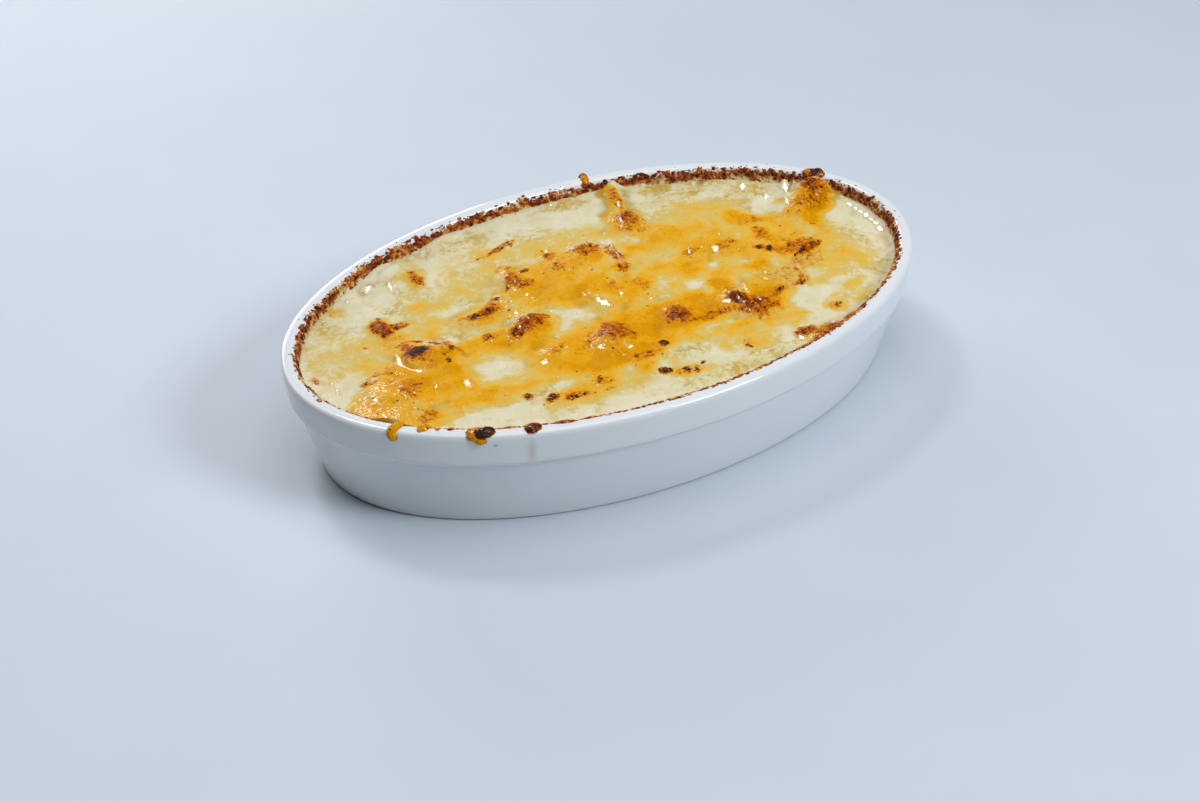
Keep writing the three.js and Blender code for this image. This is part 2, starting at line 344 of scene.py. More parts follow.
def patch(at_x, at_y, long, wide, turn=0, soft=0.5, edge=torn):
    """1 in the middle of a ragged oval of this size and 0 outside it. soft is how far its edge fades."""
    angle = math.radians(turn)
    along = (seen_x - at_x) * math.cos(angle) + (seen_y - at_y) * math.sin(angle)
    across = (seen_y - at_y) * math.cos(angle) - (seen_x - at_x) * math.sin(angle)
    out = np.hypot(along / (long / 2), across / (wide / 2)) * edge
    return 1 - smooth_step(out, 1 - soft, 1 + soft)


def patches(rows):
    """The strongest of these (strength, patch) rows at each point."""
    field = np.zeros_like(x)
    for strength, *where in rows:
        field = np.maximum(field, strength * patch(*where))
    return field


# How much clear gold fat came out, from the left end to the right: (strength, x, y, length, width,
# turn, softness of the edge).
gold = patches([
    (0.72, -77, -15, 36, 32, 0, 0.35),
    (0.86, -77, -18, 27, 16),
    (1.0, -79, -14, 16, 11, 0, 0.6),
    (1.0, -67, -3, 17, 13, -15),
    (0.95, -66, -13, 10, 13, 0, 0.6),
    (0.78, -65, -22, 12, 14, 0, 0.6),
    (0.6, -86, -31, 24, 11, -12, 0.4),
    (0.55, -96, -18, 14, 15),
    (0.5, -91, -36, 16, 6, -18, 0.4),
    (0.75, -64, -30, 30, 8, 3),
    (0.5, -60, -33, 42, 10, 0, 0.6),
    (0.5, -84, -1, 16, 12, 0, 0.6),
    (0.72, -74, 7, 15, 7, 10, 0.4),
    (0.72, -76, 20, 10, 14, 0, 0.35),
    (0.4, -75, 12, 20, 16, 0, 0.6),
    (0.55, -59, 27, 10, 7, 30),
    (0.3, -56, 24, 30, 12, 20, 0.7),
    (0.75, -54, 44, 7, 13, 0, 0.35),
    (0.3, -54, 46, 12, 20, 0, 0.7),
    (0.3, -87, 38, 9, 8),
    (0.88, -43, 12, 17, 7, 6, 0.4),
    (0.6, -41, 11, 26, 14, 0, 0.6),
    (0.78, -40, -5, 42, 15, 0, 0.35),
    (0.92, -35, -7, 20, 9),
    (1.0, -29, -2, 10, 15, -15),
    (0.74, -36, -20, 22, 30, 0, 0.35),
    (0.62, -50, -29, 28, 12, 0, 0.4),
    (0.55, -52, -10, 22, 9, 0, 0.6),
    (0.82, -30, -25, 20, 26, 0, 0.4),
    (1.0, -14, -33, 34, 15, 0, 0.4),
    (1.0, 16, -24, 62, 14, 0, 0.4),
    (0.86, 6, -22, 84, 24, 0, 0.35),
    (0.8, -10, -25, 52, 34, 0, 0.3),
    (1.0, 38, -14, 9, 13),
    (1.0, 44, -29, 14, 14, 0, 0.4),
    (0.86, 46, -26, 20, 18, 0, 0.4),
    (0.7, 52, -26, 20, 11, 10),
    (0.8, -25, -42, 8, 9),
    (0.65, -35, -44, 18, 7),
    (0.55, -30, -47, 34, 8, 0, 0.6),
    (0.6, 30, -37, 34, 7),
    (0.55, 42, -40, 10, 8),
    (0.42, 31, -44, 28, 14, 0, 0.6),
    (0.55, 30, -49, 10, 7),
    (0.75, 3, -52, 16, 6, -12, 0.4),
    (0.65, 52, -55, 18, 6, 12, 0.4),
    (0.3, 70, -38, 24, 6, 25, 0.6),
    (0.45, 78, -35, 13, 5, 15, 0.6),
    (0.5, 66.5, -43, 8, 6),
    (0.75, -8, 16, 40, 36, 0, 0.3),
    (0.62, 10, -4, 36, 13),
    (0.78, 8, 2, 26, 15),
    (0.6, 36, 28, 18, 13, 0, 0.5),
    (0.5, -63, 14, 16, 12, 0, 0.5),
    (0.46, 49, 28, 14, 10, 0, 0.6),
    (0.42, 49, -42, 14, 10, 0, 0.6),
    (0.3, 77, -42, 16, 8, 20, 0.6),
    (0.66, 46, -7, 16, 14),
    (0.55, -28, 12, 12, 24),
    (0.45, 22, 33, 12, 10),
    (0.85, -73, 1, 13, 10),
    (0.8, -93, -22, 17, 20),
    (1.0, -5, 8, 9, 10, 0, 0.6),
    (1.0, 9, 26, 8, 9, 0, 0.6),
    (0.88, 13, 14, 7, 11, 0, 0.6),
    (0.88, -23, 28, 8, 12, 0, 0.6),
    (0.86, -18, 20, 6, 9, 0, 0.6),
    (0.86, -5, 25, 7, 7, 0, 0.6),
    (0.68, 40, 13, 46, 34, 0, 0.3),
    (0.8, 40, 25, 7, 11, 0, 0.6),
    (0.8, 25, 23, 12, 6, 0, 0.6),
    (0.8, 25, 7, 12, 6, 0, 0.6),
    (0.88, 33, 2, 9, 13, 0, 0.6),
    (0.8, 52, 10, 7, 9, 0, 0.6),
    (0.4, 53, 32, 34, 22),
    (0.72, 65, 24, 12, 15),
    (0.62, 68, 5, 32, 32, 0, 0.35),
    (0.84, 73, -6, 20, 12, 15),
    (0.86, 55, -8, 14, 7, 0, 0.6),
    (0.78, 70, 10, 8, 17, 0, 0.6),
    (0.88, 68, 20, 11, 9, 0, 0.6),
    (0.46, 84, -2, 16, 24),
    (0.32, 90, -2, 16, 24, 0, 0.6),
    (0.45, 84, -18, 26, 18, 0, 0.6),
    (0.62, 56, -18, 24, 14),
    (0.8, 29, 40, 12, 19, 0, 0.35),
    (0.95, 30, 42, 7, 12),
    (0.78, 33, 56, 5.6, 24, -14, 0.3),
    (0.45, 21, 28, 10, 10, 0, 0.7),
    (0.45, -7, 0, 12, 12, 0, 0.7),
    (0.65, 34, 62, 8, 8),
    (0.86, 96, 20, 30, 17, 42, 0.3),
    (1.0, 99, 24, 18, 13, 40, 0.4),
    (0.95, 90, 12, 9, 13),
    (0.34, 0, 40, 66, 16, 0, 0.6),
    (0.28, -30, 38, 40, 30, 0, 0.7),
    (0.4, -42, 28, 12, 12, 0, 0.6),
    (0.4, -88, 10, 12, 26, 0, 0.6),
    (0.22, -95, 12, 26, 34, 0, 0.7),
    (0.48, -23, 45, 14, 8),
    (0.3, -20, -46, 60, 12, 0, 0.7),
    (0.4, 75, -14, 40, 30, 0, 0.7),
])
# Islands that stayed pale inside the gold.
pale = patches([
    (0.75, -17, -3, 9, 11),
    (0.4, -15, -7, 15, 17, 0, 0.6),
    (0.8, -49, -20, 20, 17, 0, 0.6),
    (0.68, 27, 15, 17, 11, 10),
    (0.72, 20, -3, 6, 6),
    (0.42, 28, -9.5, 10, 5, 15),
    (0.8, 42, 0, 6, 7),
    (0.35, 14, -8, 12, 7),
    (0.4, 34, -22.5, 6, 6),
    (0.3, -9, -30, 5, 4),
    (0.35, -37, -24, 5, 5),
    (0.3, 22, 31, 6, 5),
    (0.35, 48, 19, 6, 5),
    (0.3, 3, 20, 7, 7),
    (0.3, -10, 13, 5, 4),
    (0.35, 60, 13, 6, 6),
])
mottled = smooth_step(unevenness(flat, 7, 11) + 0.6 * unevenness(flat, 3, 12), -0.1, 0.5)
gold -= 0.16 * mottled * smooth_step(1 - gold, 0.03, 0.3) * smooth_step(gold, 0, 0.4)
gold = softened(gold * (1 - 0.85 * pale), 0.9)

# Green-gold oil that soaked the soft cheese, in a grainy wash with smooth cheese left between.
oil = patches([
    (0.95, -66, -32, 34, 11, 3, 0.6),
    (0.8, -50, -36, 26, 9, -5, 0.6),
    (0.85, -28, -46, 34, 12, 0, 0.6),
    (0.7, -90, 12, 28, 15, 0, 0.7),
    (0.7, -83, 2, 14, 22, 0, 0.7),
    (0.6, -62, 24, 20, 9, 32, 0.6),
    (0.6, -58, 30, 34, 16, 10, 0.7),
    (0.6, -38, 25, 26, 32, 0, 0.7),
    (0.6, -50, 5, 26, 14, 0, 0.7),
    (0.5, -92, 28, 18, 22, 40, 0.8),
    (0.45, -63, 42, 8, 16, 0, 0.7),
    (0.7, -12, 44, 38, 14, 0, 0.7),
    (0.6, -27, 44, 16, 12, 0, 0.7),
    (0.4, -30, 57, 34, 12, 0, 0.8),
    (0.65, 11, 41, 22, 13, 0, 0.7),
    (0.95, 52, 34, 42, 17, 0, 0.6),
    (0.8, 68, 28, 16, 22, -20, 0.7),
    (0.5, 50, 46, 50, 12, 0, 0.8),
    (0.6, 82, 12, 14, 16, 0, 0.7),
    (0.6, 92, -6, 16, 24, 0, 0.7),
    (0.6, 97, -18, 6, 24, -8, 0.6),
    (0.45, 84, -22, 22, 18, 0, 0.8),
    (0.5, 76, -37, 18, 5, 25, 0.6),
    (0.7, 67, -43, 8, 5, 0, 0.6),
    (0.65, 32, -38, 48, 11, 0, 0.6),
    (0.85, 43, -42, 9, 6),
    (0.55, 6, -40, 30, 11, 0, 0.6),
    (0.6, 32, -50, 20, 11, 0, 0.6),
    (0.6, 14, 62, 16, 7, 0, 0.6),
    (0.6, 20, -57, 56, 9, 0, 0.8),
    (0.42, -30, -50, 50, 10, 0, 0.8),
    (0.6, 66, 49, 22, 12, -20, 0.7),
    (0.7, 50, 55, 16, 10, 0, 0.7),
    (0.6, 79, 40, 18, 14, 0, 0.7),
    (0.6, 77, -41, 18, 10, 20, 0.6),
    (0.5, 91, -28, 16, 16, 0, 0.7),
    (0.9, -97, 9.4, 5, 2, 8, 0.7),
    (0.9, -93.8, 8, 4, 2, -60, 0.7),
    (0.9, -89.7, 10, 8, 2.4, 48, 0.7),
    (0.9, -85, 13.6, 4, 2, 0, 0.7),
    (0.8, 93.5, -7, 8, 2.6, -43, 0.7),
    (0.8, 96.6, -13.6, 9, 2.4, -85, 0.7),
    (0.8, 96, -22, 9, 2.4, 77, 0.7),
    (0.8, 67.6, -42.5, 6, 2.4, 10, 0.7),
    (0.8, 72, -39.6, 6.5, 2.4, 49, 0.7),
])

# Small olive flecks of fat stand in the oily hollows.
olive = smooth_step(unevenness(flat, 2.4, 25) + 0.6 * unevenness(flat, 1.0, 26), 0.62, 0.95)
oil = np.maximum(oil, 1.2 * olive * smooth_step(oil, 0.4, 0.65))
oil *= 1 - 0.8 * pale

# How far the cheese browned, from an orange haze to nearly burnt.
browned = patches([
    (0.5, -82, -15, 9, 16, 0, 0.6),
    (0.36, -84, -10, 16, 10, 0, 0.8),
    (0.5, -92, -6, 9, 3, 10),
    (0.3, -91, -22, 22, 24, 0, 0.8),
    (0.5, -83, -33, 6, 5),
    (0.74, -72, 2.5, 12, 11, 0, 0.6),
    (0.36, -70, 1, 24, 19, 0, 0.8),
    (0.46, -62, 0, 7, 15, -20, 0.7),
    (0.8, -76.5, 20.5, 7, 12, 0, 0.5),
    (0.66, -71, 20, 8, 4),
    (0.35, -75, 13, 17, 9, 0, 0.8),
    (0.6, -53.5, 43, 6.5, 10, 10, 0.6),
    (0.3, -54, 47, 8, 12, 0, 0.8),
    (0.3, -87, 38, 8, 6, 0, 0.8),
    (0.4, -107, 4, 2.5, 6),
    (0.74, -43, 12, 15, 5.5, 8),
    (0.5, -37, 15, 8, 6, 30),
    (0.36, -41, 11, 24, 13, 10, 0.8),
    (0.55, -46, -1.5, 6, 6),
    (0.7, -29, 0.5, 9, 8, 20, 0.6),
    (0.68, -34, -3, 12, 7, 25, 0.6),
    (0.4, -31, -2, 18, 15, 30, 0.8),
    (0.62, -24, 26, 7, 13, 0, 0.6),
    (0.5, -20, 21, 7, 7, 0, 0.6),
    (0.45, -24, 34, 8, 5, 0, 0.6),
    (0.62, -21, 46.5, 15, 3, 20, 0.6),
    (0.3, -8, 27, 26, 18, 0, 0.8),
    (0.5, -6, 26, 6, 5.5, 20),
    (0.5, -6, 33, 6, 4, 20),
    (0.4, -9, -20, 20, 17, 0, 0.8),
    (0.68, -8, -19.5, 13, 11, 0, 0.6),
    (0.5, -4, -24, 5, 8, 0, 0.6),
    (0.45, -31, -19, 7, 5, -20),
    (0.5, -6, -37, 16, 6, 0, 0.7),
    (0.34, -12, -36, 30, 9, 0, 0.8),
    (0.45, -49, -39.5, 4.5, 4),
    (0.55, -43.5, -43.5, 6, 5),
    (0.58, -37.5, -45.5, 7, 5),
    (0.45, -32.5, -46, 3.5, 3),
    (0.45, -24.5, -42.5, 6, 7, 0, 0.6),
    (0.4, -24.5, -48, 6, 3),
    (0.3, -38, -44, 22, 9, 0, 0.8),
    (0.6, 8, 31, 12, 9, 0, 0.6),
    (0.36, 4, 27, 20, 14, 0, 0.8),
    (0.55, 15, 23, 5, 17, 4, 0.7),
    (0.6, 13.5, 14, 7, 8, 0, 0.6),
    (0.45, 14, 1, 6, 10, 5, 0.6),
    (0.76, 16.5, -21.5, 10, 11, 0, 0.6),
    (0.4, 16, -20, 17, 17, 0, 0.8),
    (0.55, 26, -27.5, 30, 5, 0, 0.7),
    (0.36, 26, -25, 42, 11, 0, 0.8),
    (0.86, 38.5, -22, 8, 9, 0, 0.6),
    (0.66, 42, -31, 16, 14, 20, 0.6),
    (0.5, 52, -26.5, 14, 5, 20, 0.6),
    (0.4, 39, -17, 9, 16, 0, 0.8),
    (0.36, 60, -19, 14, 12, 0, 0.8),
    (0.4, 71, -14, 26, 12, 10, 0.8),
    (0.5, 62.5, -25, 9, 3.5, 15),
    (0.55, 39.5, 11, 7, 5),
    (0.5, 50, 8.5, 9, 5.5, 10, 0.6),
    (0.5, 55, 10, 7, 4.5, 0, 0.6),
    (0.3, 50, 7, 22, 13, 0, 0.8),
    (0.5, 68, 9, 7, 13, -15, 0.6),
    (0.48, 71, 18, 6, 6, 0, 0.6),
    (0.32, 66, 20, 14, 9, 0, 0.8),
    (0.5, 62, 1.5, 5, 4.5),
    (0.5, 65.5, -1.5, 6, 5),
    (0.36, 72, 2, 22, 14, 0, 0.8),
    (0.76, 77, -8, 17, 4, 20),
    (0.58, 76, -5, 19, 11, 12, 0.6),
    (0.66, 31, 43, 8, 10, 0, 0.6),
    (0.42, 29, 39, 12, 16, 0, 0.7),
    (0.42, 32, 33, 7, 5),
    (0.48, 33.5, 56, 5, 22, -14, 0.6),
    (0.54, 97, 22, 24, 15, 40, 0.7),
    (0.7, 103, 29, 12, 11, 40, 0.6),
    (0.42, 87, 15, 5, 7, 0, 0.6),
    (0.3, 33, 25, 20, 9, 0, 0.8),
    (0.42, 3, -51.5, 14, 7, -12, 0.6),
    (0.55, -4, -48.5, 6, 5),
    (0.4, 27, -48, 4, 7, -30),
    (0.4, 66, -43, 7, 4.5, 20, 0.6),
    (0.25, 84, -28, 10, 12, 0, 0.8),
    (0.7, 48, -52, 10, 6, 0),
    (0.6, 55, -54.5, 18, 6, 12, 0.5),
    (0.55, -74, 9, 7, 2.2, 12),
    (0.6, -68.8, 8, 6.5, 2.2, -30),
    (0.6, -64.2, 4.6, 6.5, 2.2, -40),
    (0.55, -60.4, 0.6, 6, 2.2, -53),
    (0.45, -58.2, -4.6, 6, 2, -80),
    (0.5, -92, -5, 6, 2.4, 28),
    (0.5, -88.5, -3.4, 5, 2.2, 5),
    (0.45, -85, -4.1, 5, 2.2, -26),
    (0.4, -82, -7, 5, 2, -58),
    (0.35, -80.4, -12, 6, 2, -82),
    (0.55, -80.7, -31.2, 6, 4.5),
    (0.45, 63.5, -15.4, 6, 1.8),
    (0.5, 66.4, -18, 5, 1.8, 90),
    (0.5, 64.8, -22.8, 6, 2, 58),
])

# It browned a little where it meets the wall, more at these angles round the dish.
WALL_BROWNING = {0: 0.5, 60: 0.5, 90: 0.3, 130: 0.4, 165: 0.3, 190: 0.1, 215: 0, 300: 0, 330: 0.3}
WALL_REACH = 1.6


def round_dish(table, angle):
    """The values of this table of angles at one or more angles, joined up all round the dish."""
    return np.interp(angle, list(table), list(table.values()), period=360)


inset_here = (1 - np.hypot(x / RIM_A, y / RIM_B)) * np.hypot(x, y)
angle_here = np.degrees(np.arctan2(y / RIM_B, x / RIM_A))
near_wall = np.exp(-np.clip(inset_here - CHEESE_INSET, 0, 30) / WALL_REACH)
toasted = round_dish(WALL_BROWNING, angle_here)
browned = np.maximum(browned, toasted * near_wall * (0.8 + 0.5 * unevenness(flat, 2.5, 13)))

# The scorched spots that stand out, from the left end to the right: (strength, x, y, length, width,
# turn).
burnt_spots = [
    (0.6, -107, 3, 5, 2, 80),
    (0.7, -93, -6, 4, 2, 0),
    (0.75, -79, 20, 3, 2, 60),
    (0.7, -77, 19, 2, 2),
    (0.75, -75, 27, 3, 2, 80),
    (0.7, -74, 23, 2, 2),
    (0.75, -72, 19, 3, 2, -60),
    (1.15, -71, 3, 7, 5, 10),
    (0.8, -64, -7, 3, 2, 70),
    (0.7, -53, 41, 5, 2, 70),
    (0.8, -50, -38, 4, 3, 60),
    (0.8, -47, -2, 4, 2, 30),
    (0.85, -45, 12, 6, 3, 10),
    (0.8, -43, -43, 4, 4),
    (0.75, -40, 13, 4, 2, 60),
    (0.8, -37, -46, 4, 3, 0),
    (0.8, -35, 18, 3, 2, -30),
    (0.7, -33, -46, 2, 2),
    (0.7, -28, 22, 6, 2, 60),
    (0.7, -25, -42, 5, 2, 40),
    (0.7, -22, 21, 5, 2, -30),
    (0.7, -20, 46, 5, 2, 30),
    (0.8, -18, 29, 4, 2, 10),
    (0.7, -7, 34, 3, 2, 20),
    (0.7, -7, 26, 4, 2, 50),
    (0.85, -4, -48, 5, 4, -30),
    (0.8, 2, -51, 4, 3, 90),
    (0.95, 3, -34, 4, 3, -60),
    (0.8, 5, -53, 4, 2, 60),
    (0.85, 9, -50, 3, 2, 20),
    (0.8, 27, -49, 5, 2, -70),
    (0.7, 32, 45, 3, 2, 70),
    (0.75, 39, -23, 6, 2, 45),
    (0.7, 41, -29, 3, 3),
    (0.75, 47, -52, 4, 3, 40),
    (0.75, 54, -26, 5, 2, 20),
    (0.75, 57, -53, 5, 2, 10),
    (0.9, 62, 1, 3, 3),
    (0.75, 63, -26, 4, 2, 30),
    (0.85, 65, -1, 4, 2, 50),
    (0.6, 67, -43, 4, 2, 25),
    (0.75, 73, -9, 9, 2, 20),
    (0.8, 80, -6, 5, 3, 20),
    (0.8, 104, 31, 5, 4, 30),
]

# Loose specks scorched too, most of them where the cheese had begun to brown.
SPECKS = 90
SPECK_STRENGTHS = (0.52, 0.66)
SPECK_LENGTHS = (1.5, 2.8)
SPECK_WIDTH = 1.4
draw_specks = np.random.default_rng(8)
likely = np.clip(browned + 0.12 * oil, 0, 1) ** 2
for place in draw_specks.choice(x.size, SPECKS, replace=False, p=(likely / likely.sum()).ravel()):
    strength = draw_specks.uniform(*SPECK_STRENGTHS)
    long = draw_specks.uniform(*SPECK_LENGTHS)
    spot = seen_x.flat[place], seen_y.flat[place]
    burnt_spots.append((strength, *spot, long, SPECK_WIDTH, draw_specks.uniform(-90, 90)))
burnt = patches(burnt_spots)

# Little scorched flecks gather where the cheese browned.
browned = np.maximum(browned, np.clip(1.1 * softened(burnt, 0.8), 0, 0.66))
flecks = smooth_step(unevenness(flat, 2.0, 21) + 0.6 * unevenness(flat, 0.9, 22), 0.22, 0.6)
burnt = np.maximum(burnt, 0.85 * flecks * smooth_step(browned, 0.42, 0.72))
browned = np.maximum(browned, 1.3 * pale * (1 - pale) * flecks)
freckles = smooth_step(unevenness(flat, 2.6, 23) + 0.6 * unevenness(flat, 1.1, 24), 0.5, 0.8)
browned = np.maximum(browned, 0.4 * freckles * smooth_step(gold + oil, 0.35, 1.0))

# Thin folds where the skin of the cheese crept and rucked, and a few blown blisters: (height, x, y,
# length, width, turn).
folds = sum(height * patch(*where, 0.6) for height, *where in [
    (0.5, 15.5, 23, 2.0, 17, 4),
    (0.4, 6, 34, 16, 2.2, -6),
    (0.4, -9, 33, 8, 2.2, 24),
    (0.4, -24, 30, 2.4, 9, -30),
    (0.4, -28, 22, 9, 2.0, 60),
    (0.5, -36, 1, 9, 2.0, 42),
    (0.3, 14, 4, 2.2, 7, 10),
    (0.3, 33, -9, 10, 2.2, 22),
    (0.4, 77, -7, 13, 2.0, 18),
    (0.3, 50, -26.5, 10, 2.0, 18),
    (0.9, -60, 52.5, 9, 4, 32),
    (0.5, -71.5, 46, 3, 4, 0),
    (0.3, 90, 26, 2.4, 8, -30),
])

# Where small blisters stand close together, so that the fat glistens.
glistening = patches([
    (1.0, -91, -24, 28, 28, 0, 0.5),
    (0.9, -88, -36, 20, 10, -20, 0.5),
    (0.4, -78, -3, 8, 12, 0, 0.6),
    (0.7, -34, 8, 14, 20, 0, 0.7),
    (0.6, -24, 26, 14, 20, 0, 0.6),
    (0.5, -20, 12, 14, 12, 0, 0.7),
    (0.35, -12, -24, 14, 12, 0, 0.7),
    (0.3, 12, -19, 10, 8, 0, 0.6),
    (0.7, 40, -24, 18, 16, 0, 0.6),
    (0.9, 58, -18, 20, 16, 0, 0.6),
    (0.5, 29, 40, 12, 16, 0, 0.6),
    (0.6, 97, 24, 24, 14, 40, 0.6),
    (0.5, 48, 9, 22, 10, 0, 0.7),
    (0.5, 12, -8, 12, 6, 0, 0.7),
    (0.8, 52, -54, 20, 8, 12, 0.6),
])

# Bubbles of fat and steam set in the skin: (x, y, radius) of the large ones, then small ones along
# the wall and some scattered over the rest.
WALL_BUBBLES = 70
LOOSE_BUBBLES = 120
BUBBLE_HEIGHT = 0.42
draw_bubbles = np.random.default_rng(5)
bubbles = np.zeros_like(x)
blown = [
    (106, 9, 1.3),
    (107.5, 5, 1.2),
    (108.5, 1.5, 1.4),
    (108.6, -2, 1.1),
    (108.2, -5.5, 1.3),
    (107.4, -9, 1.2),
    (11, 64, 1.5),
    (14.5, 62.5, 0.9),
    (47, 59.5, 1.1),
    (49.5, 58, 0.8),
    (79, 40, 1.7),
    (84.5, 30, 1.4),
    (93, 33, 1.8),
    (96, 36, 1.2),
    (68, 49, 1.1),
    (-45, 57, 1.2),
    (-92, 33, 1.1),
    (-71, 46, 2.0),
]
for angle in draw_bubbles.uniform(0, 2 * math.pi, WALL_BUBBLES):
    inset = CHEESE_INSET + draw_bubbles.uniform(1.2, 5)
    at_x, at_y = (RIM_A - inset) * math.cos(angle), (RIM_B - inset) * math.sin(angle)
    blown.append((at_x, at_y, draw_bubbles.uniform(0.5, 1.4)))
loose_x = draw_bubbles.uniform(-98, 98, LOOSE_BUBBLES)
loose_y = draw_bubbles.uniform(-54, 54, LOOSE_BUBBLES)
blown += zip(loose_x, loose_y, draw_bubbles.uniform(0.5, 1.1, LOOSE_BUBBLES))
for at_x, at_y, radius in blown:
    out = np.hypot(seen_x - at_x, seen_y - at_y) / radius
    bubbles = np.maximum(bubbles, BUBBLE_HEIGHT * radius * np.sqrt(np.clip(1 - out * out, 0, 1)))

meniscus = 0.9 * near_wall
blistered = smooth_step(browned, 0.25, 0.6)
fine = unevenness(flat, 1.5, 31)
rough = 0.3 * np.abs(unevenness(flat, 2.4, 32)) + 0.16 * fine
z = softened(level, SOFTENING)
z += meniscus + folds + bubbles * (1 - 0.5 * blistered)
z += 0.4 * unevenness(flat, 9, 33) + 0.22 * unevenness(flat, 4, 34)
z += blistered * rough + 0.08 * oil * fine * (1 - gold)
z += glistening * (0.2 * np.abs(unevenness(flat, 3.2, 35)) + 0.26 * np.abs(unevenness(flat, 1.9, 36)))
z += 0.25 * smooth_step(gold, 0.2, 0.6)

# How far each point lies below the skin around it. The cheese's colour is made deeper and darker in these
# hollows, partly for fat that gathered there and partly as painted shade.
hollow = np.clip((softened(z, 2.4) - z) / 0.5, -1, 1)

# Wet skin glints where a small flat facet of it mirrors the small window to the viewpoint. The edge
# of a facet fades, so each is made a little longer and wider than it should look. The lamps stand
# this far off, and the small window at this azimuth and elevation.
LAMP_DISTANCE = 1.4
SMALL_WINDOW = (102, 60)
FACET_LONGER = 1.25
FACET_WIDER = 1.4
LOOSE_LENGTHS = (0.9, 2.1)
LOOSE_WIDTHS = (0.75, 1.15)
LOOSE_TURNS = (60, 25)
WALL_GLINTS = 7
WALL_GLINT_INSET = 9.7
WALL_GLINTS_FROM, WALL_GLINTS_TO = 8.6, -8.8
CRESCENT_X, CRESCENT_Y, CRESCENT_RADIUS = -67.7, 0.3, 10.8
CRESCENT_BEARING = 200
CRESCENT_ENDS = (32, 44)


def direction(azimuth, elevation):
    """The way from the dish to a lamp at this azimuth and elevation in degrees, of length one."""
    turn, rise = math.radians(azimuth), math.radians(elevation)
    return Vector((math.cos(turn) * math.cos(rise), math.sin(turn) * math.cos(rise), math.sin(rise)))


window = np.array(direction(*SMALL_WINDOW)) * LAMP_DISTANCE / MM
shining = np.zeros_like(x)
jagged = torn + 0.5 * unevenness(flat, 1.5, 6)
# The ones that stand out: (x, y, length, width, turn).
facets = [
    (-103, -4, 6, 1, 85),
    (-95, -26, 4, 1.5, -60),
    (-94, -16, 3, 1.5, -60),
    (-74, -19, 3, 1, 50),
    (-71, 46, 3, 2, 60),
    (-64, -22, 3, 2, 65),
    (-63, 44, 6, 1.5, 75),
    (-37, -24, 3, 2.5, -60),
    (-34, 9, 5, 1, 70),
    (-34, -18, 4, 1.5, 0),
    (-32, 7, 3, 1.5, 10),
    (-26, -22, 5, 1.2, -75),
    (-24, 15, 3, 1.5, -10),
    (-19, -23, 3, 1.5, 60),
    (-8, -30, 2.5, 2, -50),
    (-8, -27, 3, 1, 60),
    (-3, -3, 5, 2, -70),
    (4, -2, 3, 1.2, 50),
    (5, 7, 3, 1, 60),
    (13, -8, 4, 1.5, 10),
    (16, 24, 7, 1, 90),
    (28, 42, 6, 1.2, 60),
    (33, 53, 4, 1.5, 70),
    (34, -23, 3, 2.5, -60),
    (39, 11, 3, 2, 60),
    (44, -20, 3, 1.5, 80),
    (45, -54, 3, 2, 70),
    (48, 8, 4, 2, 60),
    (53, -17, 4, 2, -60),
    (79, 40, 4, 2, 50),
    (83, 30, 3, 1.3, 50),
    (88, 23, 4, 2, 65),
    (93, 32, 4, 2, 70),
]
# A row of them stands along the wall at the right end.
for angle in np.radians(np.linspace(WALL_GLINTS_FROM, WALL_GLINTS_TO, WALL_GLINTS)):
    at_x = (RIM_A - WALL_GLINT_INSET) * math.cos(angle)
    at_y = (RIM_B - WALL_GLINT_INSET) * math.sin(angle)
    facets.append((at_x, at_y, 2.7, 2, 90 - 2 * math.degrees(angle)))
# Loose clusters of small ones: (x, y, spread, how many).
draw_facets = np.random.default_rng(3)
for at_x, at_y, spread, many in [
    (-28, 12, 6, 36),
    (56, -15, 5.5, 24),
    (96, 26, 5, 16),
    (41, -25, 5, 12),
    (-20, -23, 5, 12),
    (50, 9, 6, 14),
    (0, 24, 9, 16),
    (-90, -30, 7, 18),
    (-80, -30, 5, 10),
]:
    for _ in range(many):
        middle = draw_facets.normal((at_x, at_y), spread)
        size = draw_facets.uniform(*LOOSE_LENGTHS), draw_facets.uniform(*LOOSE_WIDTHS)
        facets.append((*middle, *size, draw_facets.normal(*LOOSE_TURNS)))
facets = [
    patch(at_x, at_y, long * FACET_LONGER, wide * FACET_WIDER, turn, 0.3, jagged)
    for at_x, at_y, long, wide, turn in facets
]
# A curved one lies under the left blister. It fades out between these degrees from its middle.
around = np.hypot(seen_x - CRESCENT_X, seen_y - CRESCENT_Y)
bearing = np.degrees(np.arctan2(seen_y - CRESCENT_Y, seen_x - CRESCENT_X)) % 360
crescent = 1 - smooth_step(np.abs(around - CRESCENT_RADIUS) * torn, 1.0, 2.0)
crescent *= 1 - smooth_step(np.abs(bearing - CRESCENT_BEARING), *CRESCENT_ENDS)
for facet in [*facets, crescent]:
    if facet.max() > 0.3:
        share = facet / facet.sum()
        spot = np.array([(field * share).sum() for field in (x, y, z)])
        ways = [np.array(end) - spot for end in (window, sight)]
        halfway = sum(way / np.linalg.norm(way) for way in ways)
        tilted = spot[2] - (halfway[0] * (x - spot[0]) + halfway[1] * (y - spot[1])) / halfway[2]
        z += (tilted - z) * facet
        shining = np.maximum(shining, facet)

wet = np.clip(0.16 + 0.34 * gold + 0.5 * glistening, 0, 0.76)
wet = np.clip(wet + 3 * bubbles + 1.5 * shining, 0, 1)

